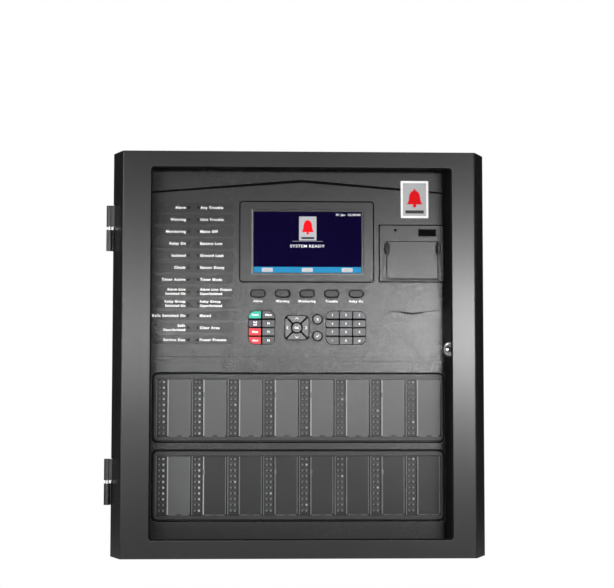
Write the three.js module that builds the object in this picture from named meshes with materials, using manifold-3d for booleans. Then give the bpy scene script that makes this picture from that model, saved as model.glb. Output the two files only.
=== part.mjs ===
// Wall-mounted fire alarm control panel.
// Millimetres. X to the right, Y from the front to the wall, Z up.
// The origin is the centre of the back face, which stands on the wall plane y = 0.
import * as THREE from 'three';
import { mergeVertices } from 'three/addons/utils/BufferGeometryUtils.js';
import Module from 'manifold-3d';

const wasm = await Module();
wasm.setup();

// ---- driving dimensions ----
const DEPTH = 165;            // wall to door front
const DOOR_W = 500;           // front face of the door
const DOOR_TOP = 286;
const DOOR_FOOT = -287.9;
const DOOR_REAR_W = 533;      // the side walls slope out to this width
const DOOR_DEPTH = 35;
const SHEET = 2;
const BOX_W = 529;
const BOX_H = 570;
const BOX_FRONT = -128.5;     // front of the box flange
const FLANGE_SIDE = 12;
const FLANGE_END = 8;
const WIN = { x0: -210.6, x1: 217.2, z0: -262.5, z1: 264, r: 5 };
const HINGE_X = -272;         // outer door hinge axis
const HINGE_Y = -129.5;
const HINGE_R = 4.5;
const HINGE_PIN_R = 2.4;
const HINGE_Z = [178.7, -182.9];
const KNUCKLE = 30.2;
const HINGE_GAP = 4.6;
const PIV_X = -240;           // inner panel pivot axis
const PIV_Y = -82;
const PANEL = { x0: -234, x1: 236, z: 274.5, y0: -86, y1: -84, back: -74 };
const FAS = { x0: -222, x1: 214.5, z0: -272, z1: 274, front: -101, rear: -98, skirt: -86.3 };
const FIT = 0.3;              // assembly clearance
const RUN = 0.1;              // running clearance of a pin in its bore
const KEY_PROUD = 1.8;        // key caps stand out of the fascia
const KEY_BACK = -83.2;       // 1.7 in front of the board, for 1.2 of travel
const DISP = { x0: -84.7, x1: 109.5, z0: 105.3, z1: 221.8, r: 4 };
const DISP_IN = { x0: -68.4, x1: 96.0, z0: 115.1, z1: 211.2 };
const SCREEN = { x0: -65.3, x1: 92.7, z0: 118.3, z1: 208.1 };
const PRN = { x0: 119.3, x1: 212.5, z0: 106.0, z1: 188.0 };
const FLAP = { x0: 129.9, x1: 203.9, z0: 109.4, z1: 164.1 };
const STRIP_UP = { x0: -210, x1: 213, z0: -127.4, z1: -29.2, r: 7 };
const STRIP_LO = { x0: -210, x1: 213.4, z0: -240.7, z1: -140.4, r: 7 };
const LOCK = { x: 222.1, z: 6.8, r: 10.6 };

// ---- materials ----
const mat = (color, roughness, metalness, extra = {}) =>
  new THREE.MeshStandardMaterial({ color, roughness, metalness, ...extra });
const MAT = {
  coat: mat(0x2a2b2c, 0.5, 0.15),
  fascia: mat(0x343536, 0.55, 0.0),
  bezel: mat(0x3b3c3e, 0.5, 0.0),
  dark: mat(0x161718, 0.6, 0.0),
  steel: mat(0xb4b6b8, 0.3, 1.0),
  chrome: mat(0xd9dadc, 0.12, 1.0),
  rubber: mat(0x0c0c0d, 0.9, 0.0),
  clear: mat(0xcfd4d8, 0.08, 0.0, { transparent: true, opacity: 0.18 }),
  smoke: mat(0x8a8f94, 0.15, 0.0, { transparent: true, opacity: 0.35 }),
  screen: mat(0x0a0526, 0.15, 0.0),
  board: mat(0x1c5a34, 0.5, 0.0),
  battery: mat(0x24262a, 0.6, 0.0),
  paper: mat(0xf1efe8, 0.9, 0.0),
  alu: mat(0xa9acae, 0.4, 0.9),
  keyGrey: mat(0x4a4b4e, 0.55, 0.0),
  keyGreen: mat(0x1fa37c, 0.5, 0.0),
  keyRed: mat(0xd3232f, 0.5, 0.0),
  keyMauve: mat(0x3a2c38, 0.5, 0.0),
};

// ---- solid helpers ----
const clean = (g) => {
  const c = g.clone();
  c.deleteAttribute('normal');
  c.deleteAttribute('uv');
  return mergeVertices(c, 1e-4);
};
const solid = (g) => {
  if (g instanceof wasm.Manifold) return g;
  const c = clean(g);
  return new wasm.Manifold(new wasm.Mesh({
    numProp: 3,
    vertProperties: new Float32Array(c.attributes.position.array),
    triVerts: new Uint32Array(c.index.array),
  }));
};
const add = (...gs) => gs.map(solid).reduce((a, b) => a.add(b));
const cut = (g, ...gs) => gs.map(solid).reduce((a, b) => a.subtract(b), solid(g));
const geo = (m) => {
  if (!(m instanceof wasm.Manifold)) return m;
  const k = m.getMesh();
  const g = new THREE.BufferGeometry();
  const p = new Float32Array(k.numVert * 3);
  for (let i = 0; i < k.numVert; i++) for (let j = 0; j < 3; j++) p[3 * i + j] = k.vertProperties[k.numProp * i + j];
  g.setAttribute('position', new THREE.BufferAttribute(p, 3));
  g.setIndex(new THREE.BufferAttribute(new Uint32Array(k.triVerts), 1));
  const f = g.toNonIndexed();
  f.computeVertexNormals();
  return f;
};
const box = (x0, x1, y0, y1, z0, z1) =>
  new THREE.BoxGeometry(x1 - x0, y1 - y0, z1 - z0).translate((x0 + x1) / 2, (y0 + y1) / 2, (z0 + z1) / 2);
// a plate drawn in X and Z, from y0 (front) to y1 (back)
const plate = (shape, y0, y1, seg = 4) =>
  new THREE.ExtrudeGeometry(shape, { depth: y1 - y0, bevelEnabled: false, curveSegments: seg })
    .rotateX(Math.PI / 2).translate(0, y1, 0);
// a profile drawn in X and Y, from z0 to z1
const column = (pts, z0, z1) => {
  const s = new THREE.Shape(pts.map(([x, y]) => new THREE.Vector2(x, y)));
  return new THREE.ExtrudeGeometry(s, { depth: z1 - z0, bevelEnabled: false }).translate(0, 0, z0);
};
const rrect = (x0, x1, z0, z1, r) => {
  const q = Array.isArray(r) ? r : [r, r, r, r]; // top left, top right, bottom right, bottom left
  const s = new THREE.Shape();
  const P = Math.PI;
  s.moveTo(x0 + q[3], z0);
  s.lineTo(x1 - q[2], z0);
  if (q[2]) s.absarc(x1 - q[2], z0 + q[2], q[2], -P / 2, 0, false);
  s.lineTo(x1, z1 - q[1]);
  if (q[1]) s.absarc(x1 - q[1], z1 - q[1], q[1], 0, P / 2, false);
  s.lineTo(x0 + q[0], z1);
  if (q[0]) s.absarc(x0 + q[0], z1 - q[0], q[0], P / 2, P, false);
  s.lineTo(x0, z0 + q[3]);
  if (q[3]) s.absarc(x0 + q[3], z0 + q[3], q[3], P, 1.5 * P, false);
  return s;
};
const poly = (pts) => new THREE.Shape(pts.map(([x, z]) => new THREE.Vector2(x, z)));
const cylY = (x, z, r, y0, y1, seg = 20) =>
  new THREE.CylinderGeometry(r, r, y1 - y0, seg).translate(x, (y0 + y1) / 2, z);
const cylZ = (x, y, r, z0, z1, seg = 20) =>
  new THREE.CylinderGeometry(r, r, z1 - z0, seg).rotateX(Math.PI / 2).translate(x, y, (z0 + z1) / 2);

const cylX = (x0, x1, y, z, r, seg = 16) =>
  new THREE.CylinderGeometry(r, r, x1 - x0, seg).rotateZ(Math.PI / 2).translate((x0 + x1) / 2, y, z);

// a ring turned about an axis along Y, from a closed profile of [radius, y]
const lathe = (pts, x, z, seg = 28) =>
  new THREE.LatheGeometry([...pts, pts[0]].reverse().map(([r, y]) => new THREE.Vector2(r, y)), seg).translate(x, 0, z);

const group = new THREE.Group();
group.name = 'fire_alarm_control_panel';
const node = (name, g, material) => {
  const m = new THREE.Mesh(geo(g), material);
  m.name = name;
  group.add(m);
  return m;
};

// ---- back box ----
const bx = BOX_W / 2, bz = BOX_H / 2;
{
  let b = cut(
    box(-bx, bx, BOX_FRONT, 0, -bz, bz),
    box(-bx + SHEET, bx - SHEET, BOX_FRONT + SHEET, -SHEET, -bz + SHEET, bz - SHEET),
    box(-bx + FLANGE_SIDE, bx - FLANGE_SIDE, BOX_FRONT - 5, BOX_FRONT + SHEET + 1, -bz + FLANGE_END, bz - FLANGE_END),
  );
  // four keyholes in the back wall
  for (const x of [-200, 200]) for (const z of [-225, 235]) {
    b = cut(b, cylY(x, z, 6.5, -5, 5, 16), box(x - 3.6, x + 3.6, -5, 5, z, z + 13), cylY(x, z + 13, 3.6, -5, 5, 12));
  }
  // scored cable knockouts along the top wall and the bottom wall
  for (let i = 0; i < 8; i++) {
    const x = -199.5 + i * 57;
    b = cut(b, cylZ(x, -52, 11.2, bz - 0.8, bz + 2, 16));
  }
  for (const x of [-210, 210]) b = cut(b, cylZ(x, -46, 14.2, -bz - 2, -bz + 0.8, 18));
  // bearing tabs that carry the inner panel
  const tabTop = cut(box(-bx + 1, PIV_X + 8, PIV_Y - 8, PIV_Y + 8, 277, 279.5), cylZ(PIV_X, PIV_Y, 3 + RUN, 270, 290, 16));
  const tabBot = cut(box(-bx + 1, PIV_X + 8, PIV_Y - 8, PIV_Y + 8, -279.5, -277), cylZ(PIV_X, PIV_Y, 3 + RUN, -290, -270, 16));
  // strike for the inner lock, battery retaining lip and shelf ends
  const strike = box(240, bx - 1, -71, -69, -14, 26);
  const lip = box(-172, 172, -73, -71, -bz + 1, -255);
  b = add(b, tabTop, tabBot, strike, lip);
  node('back_box', b, MAT.coat);
}

// ---- outer door hinges ----
const hingeZ = (i) => {
  const c = HINGE_Z[i];
  return { up: [c + HINGE_GAP / 2, c + HINGE_GAP / 2 + KNUCKLE], lo: [c - HINGE_GAP / 2 - KNUCKLE, c - HINGE_GAP / 2] };
};
const slope = (DOOR_REAR_W - DOOR_W) / 2 / DOOR_DEPTH;
const sideX = (y) => DOOR_W / 2 + (y + DEPTH) * slope; // outside of the sloped wall
['upper', 'lower'].forEach((n, i) => {
  const { up, lo } = hingeZ(i);
  const bore = (z0, z1) => cylZ(HINGE_X, HINGE_Y, HINGE_PIN_R + RUN, z0 - 3, z1 + 3, 16);
  node(`hinge_leaf_box_${n}`, cut(add(
    cylZ(HINGE_X, HINGE_Y, HINGE_R, lo[0], lo[1], 20),
    box(-269.5, -bx - FIT, -128.3, -122, lo[0], lo[1]),
    box(-267.3, -bx - FIT, -128.3, -96, lo[0], lo[1]),
  ), bore(...lo)), MAT.dark);
  // the door leaf passes through a notch in the door wall and lies along its inside
  const ang = Math.atan(slope);
  const inner = new THREE.BoxGeometry(2, 22, KNUCKLE).rotateZ(ang).translate(-sideX(-146) + 4.1, -146, (up[0] + up[1]) / 2);
  node(`hinge_leaf_door_${n}`, cut(add(
    cylZ(HINGE_X, HINGE_Y, HINGE_R, up[0], up[1], 20),
    box(-271, -257, -133, -131, up[0], up[1]),
    box(-259.2, -257, -138, -131, up[0], up[1]),
    inner,
  ), bore(...up)), MAT.dark);
  node(`hinge_pin_${n}`, cylZ(HINGE_X, HINGE_Y, HINGE_PIN_R, lo[0] + 1, up[1] - 1, 16), MAT.steel);
});

// ---- magnetic catch behind the right-hand margin of the door ----
node('door_magnet_catch', add(
  box(238, 250, -155, -131, -22, 22),
  box(240, 262, -131, BOX_FRONT - FIT, -26, 26),
), MAT.dark);

// ---- outer door ----
{
  const hw = DOOR_W / 2, hr = DOOR_REAR_W / 2, yf = -DEPTH, yr = -DEPTH + DOOR_DEPTH;
  const R = 3, k = 5;
  // the bend between the front and each sloped side
  const bend = (sgn) => {
    const out = [];
    const a1 = Math.atan(1 / slope); // slope of the side against the front plane
    const turn = Math.PI - (Math.PI - a1);
    const t = R * Math.tan(turn / 2);
    const cx = hw - t, cy = yf + R;
    for (let j = 0; j <= k; j++) {
      const th = -Math.PI / 2 + turn * j / k;
      out.push([sgn * (cx + R * Math.cos(th)), cy + R * Math.sin(th)]);
    }
    return out;
  };
  const right = bend(1), left = bend(-1).reverse();
  const outer = column([...left, ...right, [hr, yr], [-hr, yr]], DOOR_FOOT, DOOR_TOP);
  const iw = (y) => sideX(y) - SHEET / Math.cos(Math.atan(slope));
  const inner = column([[-iw(yf + SHEET), yf + SHEET], [iw(yf + SHEET), yf + SHEET], [iw(yr + 4), yr + 4], [-iw(yr + 4), yr + 4]], DOOR_FOOT + SHEET, DOOR_TOP - SHEET);
  let d = cut(outer, inner, plate(rrect(WIN.x0, WIN.x1, WIN.z0, WIN.z1, WIN.r), yf - 3, yf + SHEET + 1, 4));
  // the steel pad the magnet holds
  d = add(d, box(237, 249, yf + 1, -155.6, -20, 20));
  for (const i of [0, 1]) {
    const { up } = hingeZ(i);
    d = cut(d, box(-270, -255, -133.6, -129, up[0] - 0.6, up[1] + 0.6));
  }
  node('outer_door', d, MAT.coat);
}

// ---- window pane in its rubber channel ----
node('window_gasket', cut(
  plate(rrect(-223, 229.6, -275, 276.5, 6), -162.7, -156.4, 3),
  plate(rrect(WIN.x0 + 1.4, WIN.x1 - 1.4, WIN.z0 + 1.4, WIN.z1 - 1.4, 4), -170, -150, 3),
  box(-218.6, 225.2, -161.3, -157.7, -270.6, 272.1),
), MAT.rubber);
node('window_pane', box(-218.3, 224.9, -161, -158, -270.3, 271.8), MAT.clear);

// ---- keys: caps that stand on their switches and pass through the fascia ----
const holes = [];
const keys = [];
const GAP = 0.9;              // open line round a key
const key = (name, shapeOf, material, seg, own = true) => keys.push({ name, shapeOf, material, seg, own });
const rectKey = (name, x0, x1, z0, z1, r, material, seg = 3) =>
  key(name, (e) => rrect(x0 - e, x1 + e, z0 - e, z1 + e, r), material, seg, false);
const discKey = (name, x, z, r, material, own = true) => key(name, (e) => {
  const s = new THREE.Shape();
  s.absarc(x, z, r + e, 0, 2 * Math.PI, false);
  return s;
}, material, 9, own);

// five oval keys under the display, each in a shallow dish
['alarm', 'prealarm', 'supervisory', 'fault', 'activation'].forEach((n, i) => {
  const x = -58.8 + 35.85 * i, z = 87.6, w = 9.4, h = 4.3;
  key(`key_${n}`, (e) => rrect(x - w - e, x + w + e, z - h - e, z + h + e, h + e - 0.01), MAT.keyGrey, 5);
  holes.push(plate(rrect(x - 11.6, x + 11.6, z - 6, z + 6, 5.99), FAS.front - 3, FAS.front + 1.1, 5));
});
// function block, two columns of four
const FZ = [[51.4, 61.6], [39.0, 48.6], [26.5, 36.9], [14.0, 24.2]];
const BR = 8.6;               // outer corners of the key blocks
const fn = [
  ['key_reset', 'key_menu_mute', MAT.keyGreen], ['key_self_mute', 'key_f1', MAT.keyMauve],
  ['key_silence', 'key_f2', MAT.keyRed], ['key_evacuate', 'key_f3', MAT.keyRed],
];
fn.forEach(([a, b, m], i) => {
  const [z0, z1] = FZ[i];
  rectKey(a, -71.6, -54.3, z0, z1, i === 0 ? [BR, 0.6, 0.6, 0.6] : i === 3 ? [0.6, 0.6, 0.6, BR] : 0.6, m, 3);
  rectKey(b, -51.9, -34.6, z0, z1, i === 0 ? [0.6, BR, 0.6, 0.6] : i === 3 ? [0.6, 0.6, BR, 0.6] : 0.6, MAT.keyGrey, 3);
});
holes.push(plate(rrect(-71.6 - GAP, -34.6 + GAP, 14.0 - GAP, 61.6 + GAP, BR + GAP), FAS.front - 3, FAS.rear + 3, 5));
// arrow pad: four mitred keys round a centre key
{
  const cx = -2.0, cz = 37.7;
  const arm = [[5.3, 6.9], [14.0, 15.6], [13.2, 16.7], [11.0, 17.3], [-11.0, 17.3], [-13.2, 16.7], [-14.0, 15.6], [-5.3, 6.9], [-2.8, 8.25], [0, 8.7], [2.8, 8.25]];
  ['up', 'right', 'down', 'left'].forEach((n, i) => {
    const t = -i * Math.PI / 2, C = Math.cos(t), S = Math.sin(t);
    key(`key_arrow_${n}`, () => poly(arm.map(([x, z]) => [cx + x * C - z * S, cz + x * S + z * C])), MAT.keyGrey, 2, false);
  });
  discKey('key_ok', cx, cz, 6.9, MAT.keyGrey, false);
  holes.push(plate(rrect(cx - 18.3, cx + 18.3, cz - 18.3, cz + 18.3, 6.5), FAS.front - 3, FAS.rear + 3, 5));
}
discKey('key_round_upper', 28.2, 50.1, 6.2, MAT.keyGrey);
discKey('key_round_lower', 28.2, 25.6, 6.2, MAT.keyGrey);
// numeric keypad, three columns of four
{
  const X = [[40.9, 58.9], [60.7, 78.5], [80.2, 98.2]];
  const N = [['1', '2', '3'], ['4', '5', '6'], ['7', '8', '9'], ['star', '0', 'enter']];
  N.forEach((row, j) => row.forEach((n, i) => {
    const r = j === 0 && i === 0 ? [BR, 0.6, 0.6, 0.6] : j === 0 && i === 2 ? [0.6, BR, 0.6, 0.6]
      : j === 3 && i === 0 ? [0.6, 0.6, 0.6, BR] : j === 3 && i === 2 ? [0.6, 0.6, BR, 0.6] : 0.6;
    rectKey(`key_num_${n}`, X[i][0], X[i][1], FZ[j][0], FZ[j][1], r, MAT.keyGrey, 3);
  }));
  holes.push(plate(rrect(40.9 - GAP, 98.2 + GAP, 14.0 - GAP, 61.6 + GAP, BR + GAP), FAS.front - 3, FAS.rear + 3, 5));
}
for (const k of keys) {
  if (k.own) holes.push(plate(k.shapeOf(GAP), FAS.front - 3, FAS.rear + 3, k.seg));
  node(k.name, plate(k.shapeOf(0), FAS.front - KEY_PROUD, KEY_BACK, k.seg), k.material);
}

// ---- inner panel: folded steel plate on two pivot pins ----
{
  const { x0, x1, z, y0, y1, back } = PANEL;
  let p = cut(box(x0, x1, y0, back, -z, z), box(x0 + SHEET, x1 - SHEET, y1, back + 4, -z + SHEET, z - SHEET));
  p = cut(p,
    box(-88, 112, -95, -80, 102, 225),      // display
    box(-80, 106, -95, -80, 8, 97),         // keys
    box(-168, -138, -95, -80, 12, 222),     // indicator lamps
    box(122, 210, -95, -80, 108, 187),      // printer
    cylY(LOCK.x, LOCK.z, 9.3, -95, -75, 20),
    cylY(166.4, 59.7, 17, -95, -75, 20),    // sounder
  );
  for (const s of [1, -1]) {
    const za = s > 0 ? z - 14 : -z, zb = s > 0 ? z : -z + 14;
    p = add(p, box(PIV_X - 5, x0 + 1, PIV_Y - 5, PIV_Y + 5, za, zb),
      s > 0 ? cylZ(PIV_X, PIV_Y, 3, z - 1, 281.5, 16) : cylZ(PIV_X, PIV_Y, 3, -281.5, -z + 1, 16));
  }
  node('inner_panel', p, MAT.coat);
}

// ---- fascia: moulded cover over the inner panel ----
{
  const { x0, x1, z0, z1, front, rear, skirt } = FAS;
  const R = 4, n = 4, pts = [];
  for (let j = 0; j <= n; j++) { const t = Math.PI + (Math.PI / 2) * j / n; pts.push([x0 + R + R * Math.cos(t), front + R + R * Math.sin(t)]); }
  for (let j = 0; j <= n; j++) { const t = 1.5 * Math.PI + (Math.PI / 2) * j / n; pts.push([x1 - R + R * Math.cos(t), front + R + R * Math.sin(t)]); }
  pts.push([x1, skirt], [x0, skirt]);
  let f = cut(column(pts, z0, z1), box(x0 + 3.4, x1 - 3.4, rear, skirt + 5, z0 + 2.5, z1 - 2.5));
  const trays = [STRIP_UP, STRIP_LO];
  for (const s of trays) f = add(f, box(s.x0 - 4, x1 - 0.2, -100, -92, s.z0 - 4, s.z1 + 4));
  for (const s of trays) f = cut(f, plate(rrect(s.x0 - 1.9, 213.7, s.z0 - 1.9, s.z1 + 1.9, s.r + 1.9), front - 3, -94, 5));
  f = cut(f,
    plate(rrect(DISP.x0 - 1.5, DISP.x1 + 1.5, DISP.z0 - 1.5, DISP.z1 + 1.5, 5.5), -110, -90, 4),
    plate(rrect(123.3, 209.1, 109, 185.5, 1), -110, -90, 2),
    // line round the printer frame
    cut(box(PRN.x0 - 1.5, 218, front - 3, front + 1.4, PRN.z0 - 1.5, PRN.z1 + 1.5), box(PRN.x0 + 1.5, 220, front - 5, front + 5, PRN.z0 + 1.5, PRN.z1 - 1.5)),
    // shallow pitched groove above the controls
    plate(poly([[-226, 233.4], [5.2, 250.6], [220, 234.4], [220, 237], [5.2, 255.8], [-226, 236.4]]), front - 2, front + 1.5, 2),
    // shallow level groove between the controls and the zone strips
    plate(rrect(-211.5, 230, -11.2, -4.6, [3, 0, 0, 3]), front - 2, front + 1.0, 3),
    cylY(LOCK.x, LOCK.z, LOCK.r + 0.5, -120, skirt + 3, 28), // scallop round the lock
    ...holes,
  );
  // nine sounder outlets
  for (let i = -4; i <= 4; i++) f = cut(f, cylY(166.4 + i * 3.62, 58.6 + Math.abs(i) * 0.47, 1.25, -110, -90, 10));
  // the fine V line they sit on
  f = cut(f, plate(poly([[130.2, 62.9], [166.4, 58.2], [202.6, 62.9], [202.6, 63.7], [166.4, 59.0], [130.2, 63.7]]), front - 2, front + 0.7, 2));
  node('fascia', f, MAT.fascia);
}

// ---- display ----
{
  const { x0, x1, z0, z1, r } = DISP;
  node('display_bezel', add(
    cut(plate(rrect(x0, x1, z0, z1, r), -102.4, -90, 4), plate(rrect(DISP_IN.x0, DISP_IN.x1, DISP_IN.z0, DISP_IN.z1, 1.5), -110, -80, 2)),
    cut(box(DISP_IN.x0 - 1, DISP_IN.x1 + 1, -99.6, -97.6, DISP_IN.z0 - 1, DISP_IN.z1 + 1), box(SCREEN.x0, SCREEN.x1, -110, -80, SCREEN.z0, SCREEN.z1)),
  ), MAT.bezel);
  node('display_screen', box(DISP_IN.x0 + 0.5, DISP_IN.x1 - 0.5, -97.3, -90.5, DISP_IN.z0 + 0.5, DISP_IN.z1 - 0.5), MAT.screen);
}

// ---- strip printer ----
{
  const y = FAS.front;
  const scoops = [[129.4, 153.6], [205.2, 153.8]].map(([x, z]) =>
    new THREE.SphereGeometry(1, 18, 12).scale(4.6, 3.6, 10).translate(x, y - 2.4, z));
  let b = add(
    plate(rrect(PRN.x0, PRN.x1, PRN.z0, PRN.z1, 1.5), y - 2.6, y - 0.2, 2),
    box(124.2, 208.2, y - 1, -60, 109.8, 184.5),
  );
  b = cut(b,
    box(FLAP.x0 - 0.9, FLAP.x1 + 0.9, y - 6, -97, FLAP.z0 - 2.2, FLAP.z1 + 0.9), // seat of the flap
    box(133, 200, y - 6, -64, 116, 160.5),                                   // paper well
    ...scoops,                                                               // finger recesses
    box(123.7, 210.2, y - 6, y - 1.9, PRN.z0 - 1, PRN.z1 + 1),               // field between the side rails
    box(175.4, 202.6, y - 6, y - 1.5, 171.6, 183.4),                          // seat of the blank label
  );
  // pegs that carry the paper core
  b = add(b, cylX(132, 148, -81, 140, 5.7, 14), cylX(185, 201, -81, 140, 5.7, 14));
  node('printer_body', b, MAT.bezel);
  // the roll lies across the well on its own core
  node('paper_roll', cut(cylX(138, 195, -81, 140, 15.5, 24), cylX(130, 200, -81, 140, 6.2, 16)), MAT.paper);
  node('printer_flap', cut(add(
    box(FLAP.x0, FLAP.x1, y - 2.6, y + 0.6, FLAP.z0 + 1, FLAP.z1),
    box(FLAP.x0 + 4, FLAP.x1 - 4, y - 1, y + 3.4, FLAP.z0 + 1.4, FLAP.z0 + 4.6),
  ), ...scoops), MAT.bezel);
}

// ---- covers over the zone strips ----
[['upper', STRIP_UP], ['lower', STRIP_LO]].forEach(([n, s]) => {
  const x1 = Math.min(s.x1, 213) - 0.6;
  node(`zone_cover_${n}`, cut(
    plate(rrect(s.x0, x1, s.z0, s.z1, s.r), -101.4, -94.3, 4),
    plate(rrect(s.x0 + 1.6, x1 - 1.6, s.z0 + 1.6, s.z1 - 1.6, s.r - 1.6), -99.8, -90, 4),
  ), MAT.smoke);
});

// ---- behind the inner panel ----
node('main_board', add(
  box(-172, 104, -81.5, -79.9, -6, 228),
  box(-150, -100, -80.5, -70, 20, 60), box(-80, -20, -80.5, -72, 150, 200), box(10, 80, -80.5, -66, 10, 22),
  box(-160, -110, -80.5, -66, 205, 216), box(30, 62, -80.5, -73, 120, 152),
), MAT.board);
node('buzzer', cylY(166.4, 59.7, 16, -97.4, -82, 24), MAT.dark);

// ---- lock of the inner panel ----
{
  const r = LOCK.r, f = PANEL.y0 - 13.4; // front of the rounded collar
  const ring = [[r, PANEL.y0 - FIT], [r, f + 3.6], [r - 0.5, f + 1.8], [r - 1.3, f + 0.5], [r - 2.2, f],
    [r - 3.0, f + 0.4], [r - 3.7, f + 1.7], [6.3, f + 3.8], [6.3, -68.6], [r - 3.2, -68.6], [r - 3.2, PANEL.y0 - FIT]];
  node('lock_body', add(lathe(ring, LOCK.x, LOCK.z, 28),
    cut(cylY(LOCK.x, LOCK.z, 12.5, PANEL.y1 + FIT, PANEL.y1 + 3.4, 6), cylY(LOCK.x, LOCK.z, r - 3.6, -90, -60, 24))), MAT.chrome);
}
node('lock_plug', cut(
  add(cylY(LOCK.x, LOCK.z, 6.0, PANEL.y0 - 6.4, -63, 20), box(LOCK.x - 6.5, LOCK.x + 6.5, -66, -64, LOCK.z - 28, LOCK.z + 7)),
  box(LOCK.x - 0.9, LOCK.x + 0.9, -100, PANEL.y0 + 4, LOCK.z - 4, LOCK.z + 4)), MAT.chrome);

// ---- inside the back box ----
for (const [n, x] of [['left', -79.5], ['right', 79.5]]) {
  node(`battery_${n}`, add(
    box(x - 75.5, x + 75.5, -68.5, -3.5, -282.7, -190),
    box(x - 62, x - 56, -42, -36, -191, -184), box(x + 56, x + 62, -42, -36, -191, -184),
  ), MAT.battery);
}
{
  let p = box(-222, -62, -42, -2.3, -44, 56);
  for (let i = 0; i < 7; i++) p = cut(p, box(-206 + i * 14, -200 + i * 14, -45, -40.8, -20, 34));
  p = add(p, box(-214, -90, -50, -41, -42, -30));
  node('power_supply', p, MAT.alu);
}
{
  let p = box(-196, 96, -14, -12.4, 150, 262);
  for (let i = 0; i < 7; i++) p = add(p, box(-190 + i * 40.5, -155 + i * 40.5, -26, -13.5, 246, 259));
  for (let i = 0; i < 3; i++) p = add(p, box(-180 + i * 40, -160 + i * 40, -30, -13.5, 170, 186));
  for (const x of [-188, 88]) for (const z of [157, 236]) p = add(p, cylY(x, z, 3, -13, -2.3, 8));
  node('terminal_board', p, MAT.board);
}

export default group;
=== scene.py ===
import math
import bpy
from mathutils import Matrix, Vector


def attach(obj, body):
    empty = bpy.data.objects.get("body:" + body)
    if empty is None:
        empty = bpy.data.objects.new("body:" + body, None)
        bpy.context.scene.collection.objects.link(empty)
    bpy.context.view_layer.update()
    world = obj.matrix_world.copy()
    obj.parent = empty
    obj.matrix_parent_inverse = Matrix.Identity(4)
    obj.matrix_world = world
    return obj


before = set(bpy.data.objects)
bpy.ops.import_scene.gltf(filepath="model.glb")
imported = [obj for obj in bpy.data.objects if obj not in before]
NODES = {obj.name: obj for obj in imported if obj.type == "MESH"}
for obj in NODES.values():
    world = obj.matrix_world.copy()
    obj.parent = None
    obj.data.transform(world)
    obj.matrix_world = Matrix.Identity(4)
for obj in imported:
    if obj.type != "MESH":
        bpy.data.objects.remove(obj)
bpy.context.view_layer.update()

MM = 0.001

# ------------------------------------------------------------------ camera
cam_data = bpy.data.cameras.new("camera")
cam = bpy.data.objects.new("camera", cam_data)
bpy.context.scene.collection.objects.link(cam)
cam_data.sensor_width = 36.0
cam_data.sensor_fit = "HORIZONTAL"
cam_data.lens = 36.0 * 1418.2 / 614.0
cam_data.clip_start, cam_data.clip_end = 0.01, 60.0
YAW, PITCH, ROLL = 0.0344757, 0.0646556, 0.0011442
fwd = Vector((math.sin(YAW) * math.cos(PITCH), math.cos(YAW) * math.cos(PITCH), math.sin(PITCH)))
right = Vector((math.cos(YAW), -math.sin(YAW), 0.0))
up = right.cross(fwd)
right, up = right * math.cos(ROLL) + up * math.sin(ROLL), up * math.cos(ROLL) - right * math.sin(ROLL)
cam.location = (-0.05838, -2.165, -0.04663)
from mathutils import Matrix
m = Matrix((right, up, -fwd)).transposed()
cam.rotation_mode = "QUATERNION"
cam.rotation_quaternion = m.to_quaternion()
bpy.context.scene.camera = cam

# ------------------------------------------------------------------ materials
class Graph:
    def __init__(self, name):
        self.mat = bpy.data.materials.new(name)
        self.mat.use_nodes = True
        self.nt = self.mat.node_tree
        self.nt.nodes.clear()
        self.out = self.nt.nodes.new("ShaderNodeOutputMaterial")
        self.bsdf = self.nt.nodes.new("ShaderNodeBsdfPrincipled")
        self.nt.links.new(self.bsdf.outputs[0], self.out.inputs[0])
        self.tc = self.nt.nodes.new("ShaderNodeTexCoord")

    def n(self, kind, **kw):
        node = self.nt.nodes.new(kind)
        for k, v in kw.items():
            setattr(node, k, v)
        return node

    def link(self, a, b):
        self.nt.links.new(a, b)

    def coords(self, scale=(1, 1, 1)):
        mp = self.n("ShaderNodeMapping")
        mp.inputs["Scale"].default_value = scale
        self.link(self.tc.outputs["Object"], mp.inputs[0])
        return mp.outputs[0]

    def noise(self, scale, detail=3.0, rough=0.5, stretch=(1, 1, 1), dist=0.0):
        t = self.n("ShaderNodeTexNoise")
        t.inputs["Scale"].default_value = scale
        t.inputs["Detail"].default_value = detail
        t.inputs["Roughness"].default_value = rough
        t.inputs["Distortion"].default_value = dist
        self.link(self.coords(stretch), t.inputs["Vector"])
        return t.outputs["Fac"]

    def rng(self, value, a, b, lo=0.3, hi=0.7):
        r = self.n("ShaderNodeMapRange")
        r.inputs["From Min"].default_value = lo
        r.inputs["From Max"].default_value = hi
        r.inputs["To Min"].default_value = a
        r.inputs["To Max"].default_value = b
        self.link(value, r.inputs["Value"])
        return r.outputs[0]

    def math(self, op, a, b):
        k = self.n("ShaderNodeMath", operation=op)
        for i, v in enumerate((a, b)):
            if isinstance(v, (int, float)):
                k.inputs[i].default_value = v
            else:
                self.link(v, k.inputs[i])
        return k.outputs[0]

    def mix(self, fac, a, b):
        k = self.n("ShaderNodeMix", data_type="RGBA")
        if isinstance(fac, (int, float)):
            k.inputs[0].default_value = fac
        else:
            self.link(fac, k.inputs[0])
        for i, v in ((6, a), (7, b)):
            if isinstance(v, (tuple, list)):
                k.inputs[i].default_value = (*v[:3], 1.0)
            else:
                self.link(v, k.inputs[i])
        return k.outputs[2]


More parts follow.
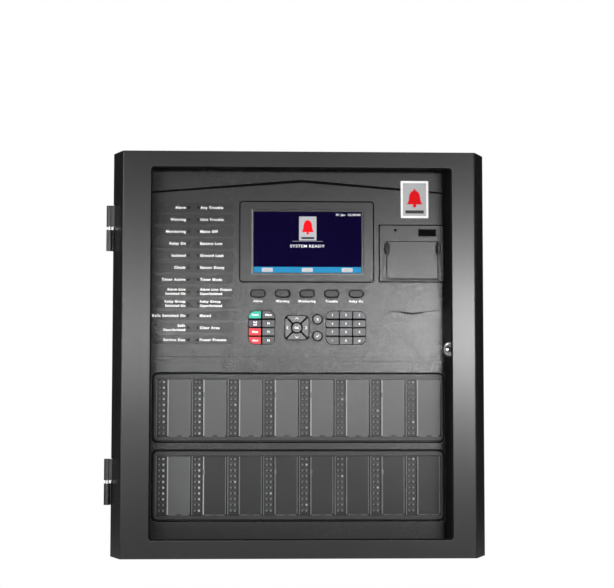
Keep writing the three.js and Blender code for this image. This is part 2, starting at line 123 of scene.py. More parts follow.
def dielectric(name, base, rough, grain=900.0, grain_h=0.00012, vary=0.12, edge=0.0008, wear_and_edge_highlight=0.25, metal=0.0,
               wear_and_highlight_col=None, spec=0.5, dirt=0.35, streak=None, fine=2600.0, rough_var=0.06, grain_col=0.10, bent=False, grain_r=0.02):
    """A coated or moulded surface: grain in bump and colour, slow patchiness, soft edges lightened partly by worn
    finish and partly by a painted highlight.
    """
    g = Graph(name)
    p = g.bsdf
    slow = g.noise(7.0, 4.0, 0.55)
    med = g.noise(60.0, 3.0, 0.5)
    gr = g.noise(grain, 2.0, 0.6)
    fi = g.noise(fine, 1.0, 0.5)
    dark = tuple(c * (1 - vary) for c in base)
    lite = tuple(min(1, c * (1 + vary)) for c in base)
    col = g.mix(g.rng(slow, 0, 1), dark, lite)
    col = g.mix(g.rng(gr, 0, grain_col), col, tuple(min(1, c * 2.2 + 0.01) for c in base))
    if streak:
        st = g.noise(1.0, 3.0, 0.6, stretch=streak)
        col = g.mix(g.rng(st, 0, 0.35), col, lite)
    wc = wear_and_highlight_col or tuple(min(1, c * 3.0 + 0.05) for c in base)
    if bent:
        # bent and moulded edges are lightened: partly worn finish, partly a painted highlight along the edges
        bev = g.n("ShaderNodeBevel", samples=6)
        bev.inputs["Radius"].default_value = edge
        geo = g.n("ShaderNodeNewGeometry")
        dot = g.n("ShaderNodeVectorMath", operation="DOT_PRODUCT")
        g.link(bev.outputs[0], dot.inputs[0])
        g.link(geo.outputs["Normal"], dot.inputs[1])
        edge_highlight_and_wear_mask = g.rng(dot.outputs["Value"], 1.0, 0.0, 0.80, 0.995)
        col = g.mix(g.math("MULTIPLY", edge_highlight_and_wear_mask, g.rng(med, 0.0, wear_and_edge_highlight, 0.35, 0.65)), col, wc)
    elif wear_and_edge_highlight:
        # rubbed patches
        col = g.mix(g.rng(med, 0.0, wear_and_edge_highlight * 0.12, 0.55, 0.75), col, wc)
    g.link(col, p.inputs["Base Color"])
    p.inputs["Metallic"].default_value = metal
    p.inputs["Specular IOR Level"].default_value = spec
    r = g.math("ADD", g.rng(slow, rough - rough_var, rough + rough_var), g.rng(gr, -grain_r, grain_r))
    r = g.math("ADD", r, g.math("MULTIPLY", g.rng(med, 0.0, 1.0, 0.55, 0.75), 0.05 * dirt))
    g.link(r, p.inputs["Roughness"])
    h = g.math("ADD", g.math("MULTIPLY", gr, 1.0), g.math("MULTIPLY", fi, 0.4))
    b = g.n("ShaderNodeBump")
    b.inputs["Strength"].default_value = 1.0
    b.inputs["Distance"].default_value = grain_h
    g.link(h, b.inputs["Height"])
    if bent:
        g.link(bev.outputs[0], b.inputs["Normal"])
    g.link(b.outputs[0], p.inputs["Normal"])
    return g.mat


def metal(name, base, rough, brush=(40, 40, 1800), var=0.1, h=0.00003):
    g = Graph(name)
    p = g.bsdf
    st = g.noise(1.0, 3.0, 0.6, stretch=brush)
    slow = g.noise(30.0, 3.0, 0.5)
    g.link(g.mix(g.rng(slow, 0, 1), tuple(c * (1 - var) for c in base), base), p.inputs["Base Color"])
    p.inputs["Metallic"].default_value = 1.0
    g.link(g.math("ADD", g.rng(st, rough * 0.7, rough * 1.3), g.rng(slow, -0.02, 0.05)), p.inputs["Roughness"])
    bev = g.n("ShaderNodeBevel", samples=4)
    bev.inputs["Radius"].default_value = 0.0005
    b = g.n("ShaderNodeBump")
    b.inputs["Strength"].default_value = 0.6
    b.inputs["Distance"].default_value = h
    g.link(st, b.inputs["Height"])
    g.link(bev.outputs[0], b.inputs["Normal"])
    g.link(b.outputs[0], p.inputs["Normal"])
    return g.mat


def clear(name, base, alpha, rough, edge_alpha=0.5, spec=0.5, scratch=0.02):
    g = Graph(name)
    p = g.bsdf
    sm = g.noise(9.0, 4.0, 0.6)
    fine = g.noise(260.0, 2.0, 0.6, stretch=(1, 1, 0.15))
    g.link(g.mix(g.rng(sm, 0, 1), base, tuple(min(1, c * 1.15) for c in base)), p.inputs["Base Color"])
    g.link(g.math("ADD", g.rng(sm, rough, rough * 1.6 + 0.01), g.rng(fine, 0.0, scratch)), p.inputs["Roughness"])
    p.inputs["Specular IOR Level"].default_value = spec
    lw = g.n("ShaderNodeLayerWeight")
    lw.inputs["Blend"].default_value = 0.25
    a = g.math("ADD", g.rng(lw.outputs["Fresnel"], alpha, edge_alpha, 0.0, 1.0), g.rng(sm, 0.0, alpha * 0.3))
    g.link(a, p.inputs["Alpha"])
    b = g.n("ShaderNodeBump")
    b.inputs["Strength"].default_value = 0.3
    b.inputs["Distance"].default_value = 0.00002
    g.link(fine, b.inputs["Height"])
    g.link(b.outputs[0], p.inputs["Normal"])
    return g.mat


def glow(name, base, strength, scale=900.0, rough=0.6):
    """A lit or printed flat colour with the faint cell pattern of what shows it; on print, card edges and lamp lenses
    the glow is painted light.
    """
    g = Graph(name)
    p = g.bsdf
    nz = g.noise(scale, 2.0, 0.5)
    slow = g.noise(14.0, 2.0, 0.5)
    c = g.mix(g.rng(nz, 0, 1), tuple(x * 0.9 for x in base), base)
    c = g.mix(g.rng(slow, 0, 0.25), c, tuple(x * 0.8 for x in base))
    g.link(c, p.inputs["Base Color"])
    g.link(c, p.inputs["Emission Color"])
    p.inputs["Emission Strength"].default_value = strength
    p.inputs["Specular IOR Level"].default_value = 0.0
    g.link(g.rng(slow, rough * 0.8, rough * 1.3), p.inputs["Roughness"])
    return g.mat


M = {
    "coat": dielectric("powder_coat", (0.0075, 0.0076, 0.0078), 0.26, grain=900.0, grain_h=0.0000022, wear_and_edge_highlight=0.18, fine=2400.0, rough_var=0.008, bent=True, grain_col=0.08, grain_r=0.006, dirt=0.05),
    "coat_in": dielectric("panel_black", (0.006, 0.006, 0.0062), 0.62, grain=700.0, grain_h=0.00006, spec=0.12, wear_and_edge_highlight=0.05),
    "fascia": dielectric("fascia_plastic", (0.0125, 0.0127, 0.013), 0.27, grain=900.0, grain_h=0.0000018, wear_and_edge_highlight=0.25, fine=2300.0, rough_var=0.006, bent=True, edge=0.0005, grain_col=0.06, grain_r=0.004, dirt=0.05),
    "bezel": dielectric("bezel_plastic", (0.0115, 0.0117, 0.012), 0.27, grain=1100.0, grain_h=0.000004, wear_and_edge_highlight=0.3, fine=2400.0, rough_var=0.006, bent=True, edge=0.0005, grain_col=0.06, grain_r=0.004, dirt=0.05),
    # the hinge edges are lightened strongly: mostly a painted highlight, with some worn paint
    "hinge": dielectric("hinge_paint", (0.004, 0.004, 0.0042), 0.30, grain=700.0, grain_h=0.00004, wear_and_edge_highlight=0.8, wear_and_highlight_col=(0.3, 0.3, 0.3), bent=True),
    "steel": metal("drawn_steel", (0.62, 0.63, 0.64), 0.25),
    "chrome": metal("chrome_plate", (0.86, 0.86, 0.87), 0.14, brush=(300, 300, 300), h=0.000006),
    "rubber": dielectric("gasket_rubber", (0.005, 0.005, 0.0052), 0.8, grain=1300.0, grain_h=0.00005, spec=0.06, wear_and_edge_highlight=0.05),
    "pane": clear("clear_pane", (0.02, 0.021, 0.022), 0.012, 0.05, 0.30, spec=0.05, scratch=0.01),
    "cover": clear("smoky_cover", (0.04, 0.041, 0.042), 0.10, 0.015, 0.5, spec=0.12),
    "board": dielectric("solder_mask", (0.012, 0.10, 0.035), 0.35, grain=500.0, grain_h=0.00008, vary=0.3, streak=(300, 300, 12)),
    "battery": dielectric("battery_case", (0.03, 0.031, 0.035), 0.45, grain=800.0, grain_h=0.00012, bent=True),
    "alu": metal("folded_aluminium", (0.60, 0.61, 0.62), 0.38),
    "paper": dielectric("thermal_paper", (0.86, 0.85, 0.81), 0.75, grain=1200.0, grain_h=0.00006, vary=0.03, grain_col=0.02),
    "key": dielectric("key_grey", (0.040, 0.041, 0.044), 0.29, grain=1500.0, grain_h=0.000006, wear_and_edge_highlight=0.5, fine=3000.0, rough_var=0.02, grain_col=0.05),
    "green": dielectric("key_green", (0.010, 0.46, 0.32), 0.40, grain=1500.0, grain_h=0.000008, vary=0.05, grain_col=0.02, wear_and_edge_highlight=0.3, rough_var=0.02),
    "red": dielectric("key_red", (0.72, 0.018, 0.030), 0.40, grain=1500.0, grain_h=0.000008, vary=0.05, grain_col=0.02, wear_and_edge_highlight=0.3, rough_var=0.02),
    "mauve": dielectric("key_mauve", (0.072, 0.05, 0.075), 0.42, grain=1500.0, grain_h=0.00001),
    # the white print glows a little: painted light that keeps it bright
    "ink": glow("white_ink_painted_glow", (0.92, 0.92, 0.92), 0.75, 2000.0),
    "dark": dielectric("dark_plastic", (0.010, 0.010, 0.0105), 0.4, grain=900.0, grain_h=0.00003, spec=0.25),
    "matt": dielectric("matt_black", (0.0035, 0.0035, 0.0037), 0.7, grain=900.0, grain_h=0.00002, spec=0.0, wear_and_edge_highlight=0.05),
    "band": dielectric("row_tint", (0.0095, 0.0096, 0.010), 0.275, spec=0.42, grain=900.0, grain_h=0.000005, wear_and_edge_highlight=0.0, rough_var=0.008, grain_col=0.06),
    "card": dielectric("label_card", (0.155, 0.156, 0.158), 0.30, grain=600.0, grain_h=0.000008, streak=(260, 260, 6), wear_and_edge_highlight=0.0, vary=0.08, rough_var=0.02, grain_col=0.03),
    "card_b": dielectric("label_card_grey", (0.16, 0.161, 0.163), 0.30, grain=600.0, grain_h=0.000008, streak=(260, 260, 6), wear_and_edge_highlight=0.0, vary=0.08, rough_var=0.02, grain_col=0.03),
    # a darker copy of the same card for the lower strip: painted shade
    "card_shaded": dielectric("label_card_painted_shade", (0.028, 0.0283, 0.0288), 0.30, grain=600.0, grain_h=0.000008, streak=(260, 260, 6), wear_and_edge_highlight=0.0, vary=0.08, rough_var=0.02, grain_col=0.03),
    # light grey for the clips, and for thin strips that stand in as painted highlights on edges
    "clip": dielectric("card_edge", (0.26, 0.26, 0.265), 0.26, grain=600.0, grain_h=0.00001, wear_and_edge_highlight=0.2),
    # glowing pale grey for the left edge strips of the cards: a painted highlight
    "edge": glow("edge_painted_highlight", (0.62, 0.62, 0.63), 0.15, 600.0, 0.3),
    "rim": dielectric("cover_rim", (0.052, 0.0525, 0.053), 0.30, grain=900.0, grain_h=0.000006, wear_and_edge_highlight=0.3, rough_var=0.02),
    # glowing facet on chosen lamp lenses: a painted highlight
    "lamp_glint": glow("lamp_painted_highlight", (0.70, 0.71, 0.72), 0.25, 2000.0, 0.2),
    "oval": dielectric("key_lens", (0.020, 0.0205, 0.0215), 0.32, grain=1500.0, grain_h=0.000006, wear_and_edge_highlight=0.3, spec=0.35),
    "satin": metal("satin_chrome", (0.86, 0.86, 0.87), 0.30, brush=(300, 300, 300), h=0.000006),
    "column": dielectric("lamp_column", (0.016, 0.0162, 0.0168), 0.34, grain=900.0, grain_h=0.00001, wear_and_edge_highlight=0.2),
    "pad": dielectric("pad_grey", (0.085, 0.086, 0.089), 0.28, grain=1500.0, grain_h=0.000006, wear_and_edge_highlight=0.4, fine=3000.0, rough_var=0.02, grain_col=0.04),
    "lampbed": dielectric("lamp_bed", (0.052, 0.052, 0.053), 0.32, grain=900.0, grain_h=0.00003, wear_and_edge_highlight=0.3),
    "lamp": dielectric("lamp_lens", (0.36, 0.363, 0.368), 0.16, grain=2000.0, grain_h=0.00001, vary=0.1, wear_and_edge_highlight=0.0),
    "screen": glow("screen_blue", (0.0022, 0.0010, 0.0170), 0.55, 1400.0),
    "bar": glow("screen_bar", (0.020, 0.190, 0.37), 0.55, 1400.0),
    "soft": glow("screen_button", (0.42, 0.41, 0.42), 0.55, 1400.0),
    "scrwhite": glow("screen_white", (0.62, 0.63, 0.66), 1.1, 1400.0),
    "scrtile": glow("screen_tile", (0.36, 0.36, 0.38), 0.62, 1400.0),
    "scrred": glow("screen_red", (0.70, 0.008, 0.012), 0.62, 1400.0),
    # the badge's white print glows a little: painted light
    "tile": glow("badge_white_painted_glow", (0.92, 0.92, 0.92), 0.22, 900.0),
    "tilegrey": dielectric("badge_grey", (0.42, 0.42, 0.43), 0.4, grain=900.0, grain_h=0.00001, vary=0.06, grain_col=0.04),
    # the red print glows a little too: painted light
    "badgered": glow("badge_red_painted_glow", (0.72, 0.010, 0.014), 0.18, 900.0),
    "terminal": dielectric("terminal_green", (0.02, 0.22, 0.07), 0.4, grain=900.0, grain_h=0.00006, vary=0.1),
}

ASSIGN = {
    "back_box": "coat", "outer_door": "coat", "inner_panel": "coat_in",
    "door_magnet_catch": "dark", "battery_left": "battery", "battery_right": "battery",
    "power_supply": "alu", "terminal_board": "board", "window_pane": "pane", "window_gasket": "rubber",
    "fascia": "fascia", "display_bezel": "bezel", "display_screen": "dark", "printer_body": "bezel",
    "paper_roll": "paper", "zone_cover_upper": "cover", "zone_cover_lower": "cover", "main_board": "board",
    "lock_body": "satin", "buzzer": "matt", "lock_plug": "chrome", "printer_flap": "bezel",
    "key_alarm": "oval", "key_prealarm": "oval", "key_supervisory": "oval", "key_fault": "oval", "key_activation": "oval",
    "key_arrow_up": "pad", "key_arrow_right": "pad", "key_arrow_down": "pad", "key_arrow_left": "pad", "key_ok": "pad", "key_round_upper": "pad", "key_round_lower": "pad",
    "key_reset": "green", "key_silence": "red", "key_evacuate": "red", "key_self_mute": "mauve",
}
for name, o in NODES.items():
    if name.startswith("hinge_pin"):
        k = "steel"
    elif name.startswith("hinge_leaf"):
        k = "hinge"
    elif name in ASSIGN:
        k = ASSIGN[name]
    else:
        k = "key"
    o.data.materials.clear()
    o.data.materials.append(M[k])


def soften(node, width, segments=3, angle=35.0, smooth=True):
    """Rounds the moulded edges of a carried-over piece."""
    o = NODES[node]
    w = o.modifiers.new("weld", "WELD")
    w.merge_threshold = 1e-6
    b = o.modifiers.new("edges", "BEVEL")
    b.width = width * MM
    b.segments = segments
    b.limit_method = "ANGLE"
    b.angle_limit = math.radians(angle)
    b.harden_normals = smooth
    for p in o.data.polygons:
        p.use_smooth = smooth


for name in NODES:
    if name.startswith("key_"):
        soften(name, 0.6, 2, smooth=False)
soften("printer_flap", 0.5, 2, smooth=False)
soften("display_bezel", 0.8, 2, smooth=False)

# ------------------------------------------------------------------ mesh building
class Batch:
    """Collects many small closed shapes into one named piece."""

    def __init__(self, name, body, slot, mats, bevel=0.0, smooth=False, segments=2):
        self.name, self.body, self.slot, self.mats = name, body, slot, mats
        self.v, self.f, self.mi, self.bevel, self.smooth, self.seg = [], [], [], bevel, smooth, segments

    def raw(self, verts, faces, mat=0):
        k = len(self.v)
        self.v += [tuple(c * MM for c in p) for p in verts]
        self.f += [[k + i for i in f] for f in faces]
        self.mi += [mat] * len(faces)

    def prism(self, pts, y0, y1, mat=0):
        """pts: (x, z) anticlockwise seen from the front; y0 is the front."""
        n = len(pts)
        v = [(x, y0, z) for x, z in pts] + [(x, y1, z) for x, z in pts]
        f = [list(range(n)), list(range(2 * n - 1, n - 1, -1))]
        f += [[i, n + i, n + (i + 1) % n, (i + 1) % n] for i in range(n)]
        self.raw(v, f, mat)

    def ring(self, outer, inner, y0, y1, mat=0):
        n = len(outer)
        assert len(inner) == n
        v = [(x, y0, z) for x, z in outer] + [(x, y0, z) for x, z in inner]
        v += [(x, y1, z) for x, z in outer] + [(x, y1, z) for x, z in inner]
        f = []
        for i in range(n):
            j = (i + 1) % n
            f.append([i, j, n + j, n + i])
            f.append([2 * n + j, 2 * n + i, 3 * n + i, 3 * n + j])
            f.append([j, i, 2 * n + i, 2 * n + j])
            f.append([n + i, n + j, 3 * n + j, 3 * n + i])
        self.raw(v, f, mat)

    def box(self, x0, x1, y0, y1, z0, z1, mat=0):
        self.prism([(x0, z0), (x1, z0), (x1, z1), (x0, z1)], y0, y1, mat)

    def dome(self, x, z, r, y_base, h, mat=0, seg=12, rings=3):
        """A low dome that stands towards the front."""
        v, f = [], []
        for k in range(rings):
            a = (math.pi / 2) * k / rings
            for i in range(seg):
                t = 2 * math.pi * i / seg
                v.append((x + r * math.cos(a) * math.cos(t), y_base - h * math.sin(a), z + r * math.cos(a) * math.sin(t)))
        v.append((x, y_base - h, z))
        top = len(v) - 1
        for k in range(rings - 1):
            for i in range(seg):
                j = (i + 1) % seg
                f.append([k * seg + i, k * seg + j, (k + 1) * seg + j, (k + 1) * seg + i])
        for i in range(seg):
            f.append([(rings - 1) * seg + i, (rings - 1) * seg + (i + 1) % seg, top])
        f.append([i for i in range(seg - 1, -1, -1)])
        self.raw(v, f, mat)

    def ridge(self, outer, mid, inner, y, h, mat=0):
        """A bead with a pitched front, round an opening; laid here in matt black as painted shade along seams."""
        n = len(outer)
        v = [(x, y, z) for x, z in outer] + [(x, y - h, z) for x, z in mid] + [(x, y, z) for x, z in inner]
        f = []
        for i in range(n):
            j = (i + 1) % n
            f.append([i, j, n + j, n + i])
            f.append([n + i, n + j, 2 * n + j, 2 * n + i])
            f.append([j, i, 2 * n + i, 2 * n + j])
        self.raw(v, f, mat)

    def lathe_y(self, x, z, prof, seg=28, mat=0):
        """prof: (radius, y) from the front axis point to the back axis point."""
        v, f = [], []
        for r, y in prof:
            for i in range(seg):
                t = 2 * math.pi * i / seg
                v.append((x + r * math.cos(t), y, z + r * math.sin(t)))
        for k in range(len(prof) - 1):
            for i in range(seg):
                j = (i + 1) % seg
                f.append([k * seg + j, k * seg + i, (k + 1) * seg + i, (k + 1) * seg + j])
        self.raw(v, f, mat)

    def text(self, s, x, z, size, y, mat=0, align="LEFT", bold=0.019, width=None, track=1.0):
        """Flat printed words facing the front; z is the middle of the line."""
        c = bpy.data.curves.new("t", "FONT")
        c.body = s
        c.size = 1.0
        c.offset = bold
        c.space_character = track
        c.resolution_u = 2
        o = bpy.data.objects.new("t", c)
        bpy.context.scene.collection.objects.link(o)
        bpy.context.view_layer.update()
        me = bpy.data.meshes.new_from_object(o.evaluated_get(bpy.context.evaluated_depsgraph_get()))
        xs = [p.co.x for p in me.vertices]
        lo, hi = min(xs), max(xs)
        k = size
        kx = k if width is None else width / (hi - lo)
        shift = {"LEFT": -lo, "RIGHT": -hi, "CENTER": -(lo + hi) / 2}[align]
        v = [(x + (p.co.x + shift) * kx, y, z + (p.co.y - 0.34) * k) for p in me.vertices]
        self.raw(v, [list(p.vertices) for p in me.polygons], mat)
        bpy.data.objects.remove(o)
        bpy.data.curves.remove(c)
        bpy.data.meshes.remove(me)

    def done(self):
        me = bpy.data.meshes.new(self.name)
        me.from_pydata(self.v, [], self.f)
        for mm in self.mats:
            me.materials.append(M[mm])
        me.polygons.foreach_set("material_index", self.mi)
        me.validate()
        me.update()
        o = bpy.data.objects.new(self.name, me)
        bpy.context.scene.collection.objects.link(o)
        if self.bevel:
            b = o.modifiers.new("edges", "BEVEL")
            b.width = self.bevel * MM
            b.segments = self.seg
            b.limit_method = "ANGLE"
            b.angle_limit = math.radians(35)
            b.harden_normals = True
        if self.smooth or self.bevel:
            for p in me.polygons:
                p.use_smooth = True
        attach(o, self.body)
        return o


def rr(x0, x1, z0, z1, r, n=4):
    pts = []
    for cx, cz, a in ((x1 - r, z0 + r, -90), (x1 - r, z1 - r, 0), (x0 + r, z1 - r, 90), (x0 + r, z0 + r, 180)):
        for i in range(n + 1):
            t = math.radians(a + 90 * i / n)
            pts.append((cx + r * math.cos(t), cz + r * math.sin(t)))
    return pts


def circle(x, z, r, n=24):
    return [(x + r * math.cos(2 * math.pi * i / n), z + r * math.sin(2 * math.pi * i / n)) for i in range(n)]


F = -101.0            # front of the fascia

# ------------------------------------------------------------------ printed words and status lamps
LEFT = ["Alarm", "Warning", "Monitoring", "Relay On", "Isolated", "Check", "Timer Active",
        ("Alarm Line", "Switched On"), ("Relay Group", "Switched On"), "Bells Switched On",
        ("Bells", "Open/Isolated"), "Service Due"]
RIGHT = ["Any Trouble", "Unit Trouble", "Mains Off", "Battery Low", "Ground Leak", "Sensor Dusty",
         "Timer Mode", ("Alarm Line Output", "Open/Isolated"), ("Relay Group", "Open/Isolated"), "Muted",
         "Clear Area", "Power Present"]
words = Batch("status_words", "panel", "fascia_plastic", ["ink"])
bands = Batch("status_row_tint", "panel", "fascia_plastic", ["band"])
lamps = Batch("status_lamps", "panel", "fascia_plastic", ["matt", "oval"], smooth=True)
for i in range(12):
    z = 213.1 - 17.56 * i
    bands.prism(rr(-211.5, -94.0, z - 6.6, z + 6.6, 5.0), F - 0.06, F - 0.005)
    for src, x, al in ((LEFT[i], -164.3, "RIGHT"), (RIGHT[i], -143.0, "LEFT")):
        if isinstance(src, tuple):
            words.text(src[0], x, z + 3.1, 5.1, F - 0.12, align=al, track=1.16)
            words.text(src[1], x, z - 3.1, 5.1, F - 0.12, align=al, track=1.10)
        else:
            words.text(src, x, z, 5.5, F - 0.12, align=al, track=1.17)
    for x in (-159.9, -145.8):
        lamps.lathe_y(x, z, [(0.0, F - 0.35), (1.2, F - 0.3), (1.7, F - 0.18), (1.9, F - 0.02), (0.0, F - 0.02)], seg=12, mat=0)
        lamps.dome(x, z, 0.75, F - 0.30, 0.35, mat=1, seg=8, rings=2)
for i, s in enumerate(["Alarm", "Warning", "Monitoring", "Trouble", "Relay On"]):
    words.text(s, -58.8 + 35.85 * i, 76.6, 4.8, F - 0.12, align="CENTER", bold=0.018, track=1.16)
words.done()
bands.done()
lamps.done()

# ------------------------------------------------------------------ key legends, each on its own key
KY = F - 1.8 - 0.05
def legend(key, lines, x, z, size, mat="ink"):
    b = Batch("legend_" + key, key, "key_grey", [mat])
    k = len(lines)
    for i, s in enumerate(lines):
        b.text(s, x, z + (k - 1) * size * 0.5 - i * size, size, KY, align="CENTER")
    return b.done()

FZC = [56.5, 43.8, 31.7, 19.1]
for i, (a, b) in enumerate(((("key_reset", ["Reset"]), ("key_menu_mute", ["Menu"])), (("key_self_mute", ["Bell", "Off"]), ("key_f1", ["F1"])),
                            (("key_silence", ["Mute"]), ("key_f2", ["F2"])), (("key_evacuate", ["Alert"]), ("key_f3", ["F3"])))):
    legend(a[0], a[1], -62.6, FZC[i], 3.9 if len(a[1]) == 2 else 4.2)
    legend(b[0], b[1], -43.2, FZC[i], 4.2)
for j, row in enumerate((("1", "2", "3"), ("4", "5", "6"), ("7", "8", "9"), ("star", "0", "enter"))):
    for i, n in enumerate(row):
        s = {"star": "*", "enter": "#"}.get(n, n)
        legend("key_num_" + n, [s], (49.9, 69.6, 89.2)[i], FZC[j] - (0.8 if n == "star" else 0.0), 4.6 if len(s) == 1 else 3.6)
legend("key_ok", ["OK"], -2.0, 37.7, 4.4)
for n, dx, dz in (("up", 0, 13.2), ("down", 0, -13.2), ("left", -13.2, 0), ("right", 13.2, 0)):
    b = Batch("legend_key_arrow_" + n, "key_arrow_" + n, "key_grey", ["ink"])
    cx, cz = -2.0 + dx, 37.7 + dz
    t = {"up": 0, "left": 90, "down": 180, "right": -90}[n]
    c, s = math.cos(math.radians(t)), math.sin(math.radians(t))
    pts = [(-2.4, -0.9), (0, 1.0), (2.4, -0.9), (2.4, 0.0), (0, 1.9), (-2.4, 0.0)]
    b.raw([(cx + x * c - z * s, KY, cz + x * s + z * c) for x, z in pts], [[0, 1, 4, 5], [1, 2, 3, 4]])
    b.done()
b = Batch("legend_key_round_upper", "key_round_upper", "key_grey", ["ink"])
b.text("X", 28.2, 50.1, 4.4, KY, align="CENTER")
b.done()
b = Batch("legend_key_round_lower", "key_round_lower", "key_grey", ["ink"])
b.raw([(28.2 + x, KY, 25.6 + z) for x, z in ((-2.2, 0.2), (-0.6, -1.9), (2.4, 1.8), (1.7, 2.3), (-0.7, -0.7), (-1.6, 0.7))], [[0, 1, 4, 5], [1, 2, 3, 4]])
b.done()

# ------------------------------------------------------------------ what the display shows
S = -97.3
ui = Batch("display_picture", "panel", "screen_glass", ["screen", "bar", "soft", "scrwhite", "tilegrey", "matt", "scrtile", "scrred"])
ui.prism(rr(-65.2, 92.6, 118.4, 208.0, 0.3, 1), S - 0.06, S - 0.01, 0)
ui.box(-65.2, 92.6, S - 0.10, S - 0.07, 118.4, 127.0, 1)
for x, s in ((-45.2, "Reset"), (13.4, "Clear"), (71.8, "Menu")):
    ui.prism(rr(x - 8.1, x + 8.1, 119.6, 125.6, 1.2), S - 0.14, S - 0.11, 2)
    ui.text(s, x, 122.6, 3.4, S - 0.16, mat=4, align="CENTER")
ui.text("SYSTEM READY", 13.4, 157.6, 5.9, S - 0.12, mat=3, align="CENTER", width=50.5, bold=0.004, track=1.05)
ui.box(-8.5, 36.0, S - 0.12, S - 0.10, 164.5, 165.0, 4)
ui.text("01 Jan  12:30:00", 91.4, 204.0, 4.4, S - 0.12, mat=3, align="RIGHT", bold=0.012, width=36.0)
# a plain bell stands in the middle of the picture
ui.prism(rr(1.2, 26.7, 165.9, 201.2, 0.4, 1), S - 0.12, S - 0.10, 6)
BELL = [(-11.5, -9.5), (11.5, -9.5), (9.6, -6.6), (8.4, -2.0), (7.7, 4.0), (5.6, 8.4), (2.2, 10.6), (0, 11.1), (-2.2, 10.6), (-5.6, 8.4), (-7.7, 4.0), (-8.4, -2.0), (-9.6, -6.6)]
ui.prism([(13.95 + 0.78 * x, 186.4 + 0.86 * z) for x, z in BELL], S - 0.16, S - 0.13, 7)
ui.prism(circle(13.95, 176.6, 1.9, 14), S - 0.16, S - 0.13, 7)
ui.box(4.6, 23.4, S - 0.16, S - 0.13, 168.2, 170.8, 5)
ui.done()

# ------------------------------------------------------------------ plain badge on the fascia
bd = Batch("fascia_badge", "panel", "fascia_plastic", ["tile", "tilegrey", "badgered", "dark"])
bx0, bx1, bz0, bz1 = 150.4, 191.0, 199.2, 254.0
bd.prism(rr(bx0, bx1, bz0, bz1, 0.8), F - 0.5, F - 0.02, 0)
bd.prism(rr(bx0 + 3.2, bx1 - 3.2, bz0 + 3.2, bz1 - 3.2, 0.4), F - 0.56, F - 0.5, 1)
# bell pictogram
bc, bb = (bx0 + bx1) / 2, 229.0
bd.prism([(bc + x, bb + z) for x, z in BELL], F - 0.66, F - 0.57, 2)
bd.prism(circle(bc, bb - 11.6, 2.6, 14), F - 0.66, F - 0.57, 2)
bd.prism(circle(bc, bb + 12.0, 1.5, 12), F - 0.66, F - 0.57, 2)
bd.box(bc - 13.5, bc + 13.5, F - 0.66, F - 0.57, 206.0, 210.6, 3)
bd.done()

# ------------------------------------------------------------------ printer trim
pr = Batch("printer_label", "panel", "bezel_plastic", ["matt", "lamp"])
pr.prism(rr(176.2, 201.8, 172.4, 182.6, 0.8), F - 2.0, F - 1.55, 0)
pr.lathe_y(142.1, 181.2, [(0.0, F - 2.3), (1.3, F - 2.25), (1.9, F - 2.15), (2.0, F - 1.95), (0.0, F - 1.95)], seg=16, mat=0)
pr.done()

# ------------------------------------------------------------------ black matt strips in the seams, gaps and grooves of the fascia: painted shade
se = Batch("seam_painted_shade", "panel", "rubber", ["matt"])
se.ring(rr(-86.15, 110.95, 103.85, 223.25, 5.4), rr(-84.75, 109.55, 105.25, 221.85, 4.05), -99.7, -98.3)
se.box(117.85, 120.7, -99.68, -99.61, 104.55, 189.45)
se.box(120.7, 214.3, -99.68, -99.61, 186.6, 189.45)
se.box(120.7, 214.3, -99.68, -99.61, 104.55, 107.4)
for z0, z1 in ((-127.4, -29.2), (-240.7, -140.4)):
    se.ring(rr(-211.85, 213.6, z0 - 1.85, z1 + 1.85, 8.8), rr(-210.05, 212.45, z0 - 0.05, z1 + 0.05, 7.05), -98.4, -94.05)
for i in range(5):
    x, z = -58.8 + 35.85 * i, 87.6
    se.ring(rr(x - 11.5, x + 11.5, z - 5.9, z + 5.9, 5.89, 5), rr(x - 10.45, x + 10.45, z - 5.35, z + 5.35, 5.34, 5), -99.98, -99.92)
# dark strips in the floors of the long V groove near the top and of the sounder groove: painted shade
for a, b in (((-221.0, 233.9), (5.2, 251.2)), ((5.2, 251.2), (214.0, 235.0))):
    h0, h1 = (2.4, 4.0) if a[0] < 0 else (4.0, 2.3)
    se.prism([a, b, (b[0], b[1] + h1), (a[0], a[1] + h0)], F + 1.42, F + 1.48)
for a, b in (((130.6, 63.0), (150.2, 60.5)), ((182.6, 60.5), (202.2, 63.0))):
    se.prism([a, b, (b[0], b[1] + 0.6), (a[0], a[1] + 0.6)], F + 0.62, F + 0.68)
# black mouths in the nine sounder outlets: painted shade in the holes
for i in range(-4, 5):
    cx, cz = 166.4 + i * 3.62, 58.6 + abs(i) * 0.47
    se.lathe_y(cx, cz, [(0.0, F + 0.9), (1.1, F - 0.02), (1.35, F - 0.16), (1.6, F - 0.02), (1.6, F - 0.01), (1.15, F - 0.01), (0.0, F + 1.0)], seg=14)
# dark beads round the display frame, the zone windows and the two round keys: painted shade along their seams
se.ridge(rr(-86.45, 111.25, 103.55, 223.55, 5.7), rr(-85.45, 110.25, 104.55, 222.55, 4.7), rr(-84.45, 109.25, 105.55, 221.55, 3.8), F - 0.02, 0.2)
for z0, z1 in ((-127.4, -29.2), (-240.7, -140.4)):
    se.ridge(rr(-211.85, 213.6, z0 - 1.85, z1 + 1.85, 8.8), rr(-210.95, 212.7, z0 - 0.95, z1 + 0.95, 7.9), rr(-210.05, 211.8, z0 - 0.05, z1 + 0.05, 7.05), -98.42, 0.8)
for z in (50.1, 25.6):
    se.lathe_y(28.2, z, [(7.15, F - 0.02), (7.6, F - 0.2), (8.15, F - 0.02), (7.15, F - 0.01)], seg=28)
# dark strips in the gap round the printer: painted shade
se.box(129.15, 204.65, -98.6, -97.05, 107.3, 110.1)
for a, b in ((129.1, 129.8), (204.0, 204.7)):
    se.box(a, b, -98.6, -97.05, 110.1, 164.9)
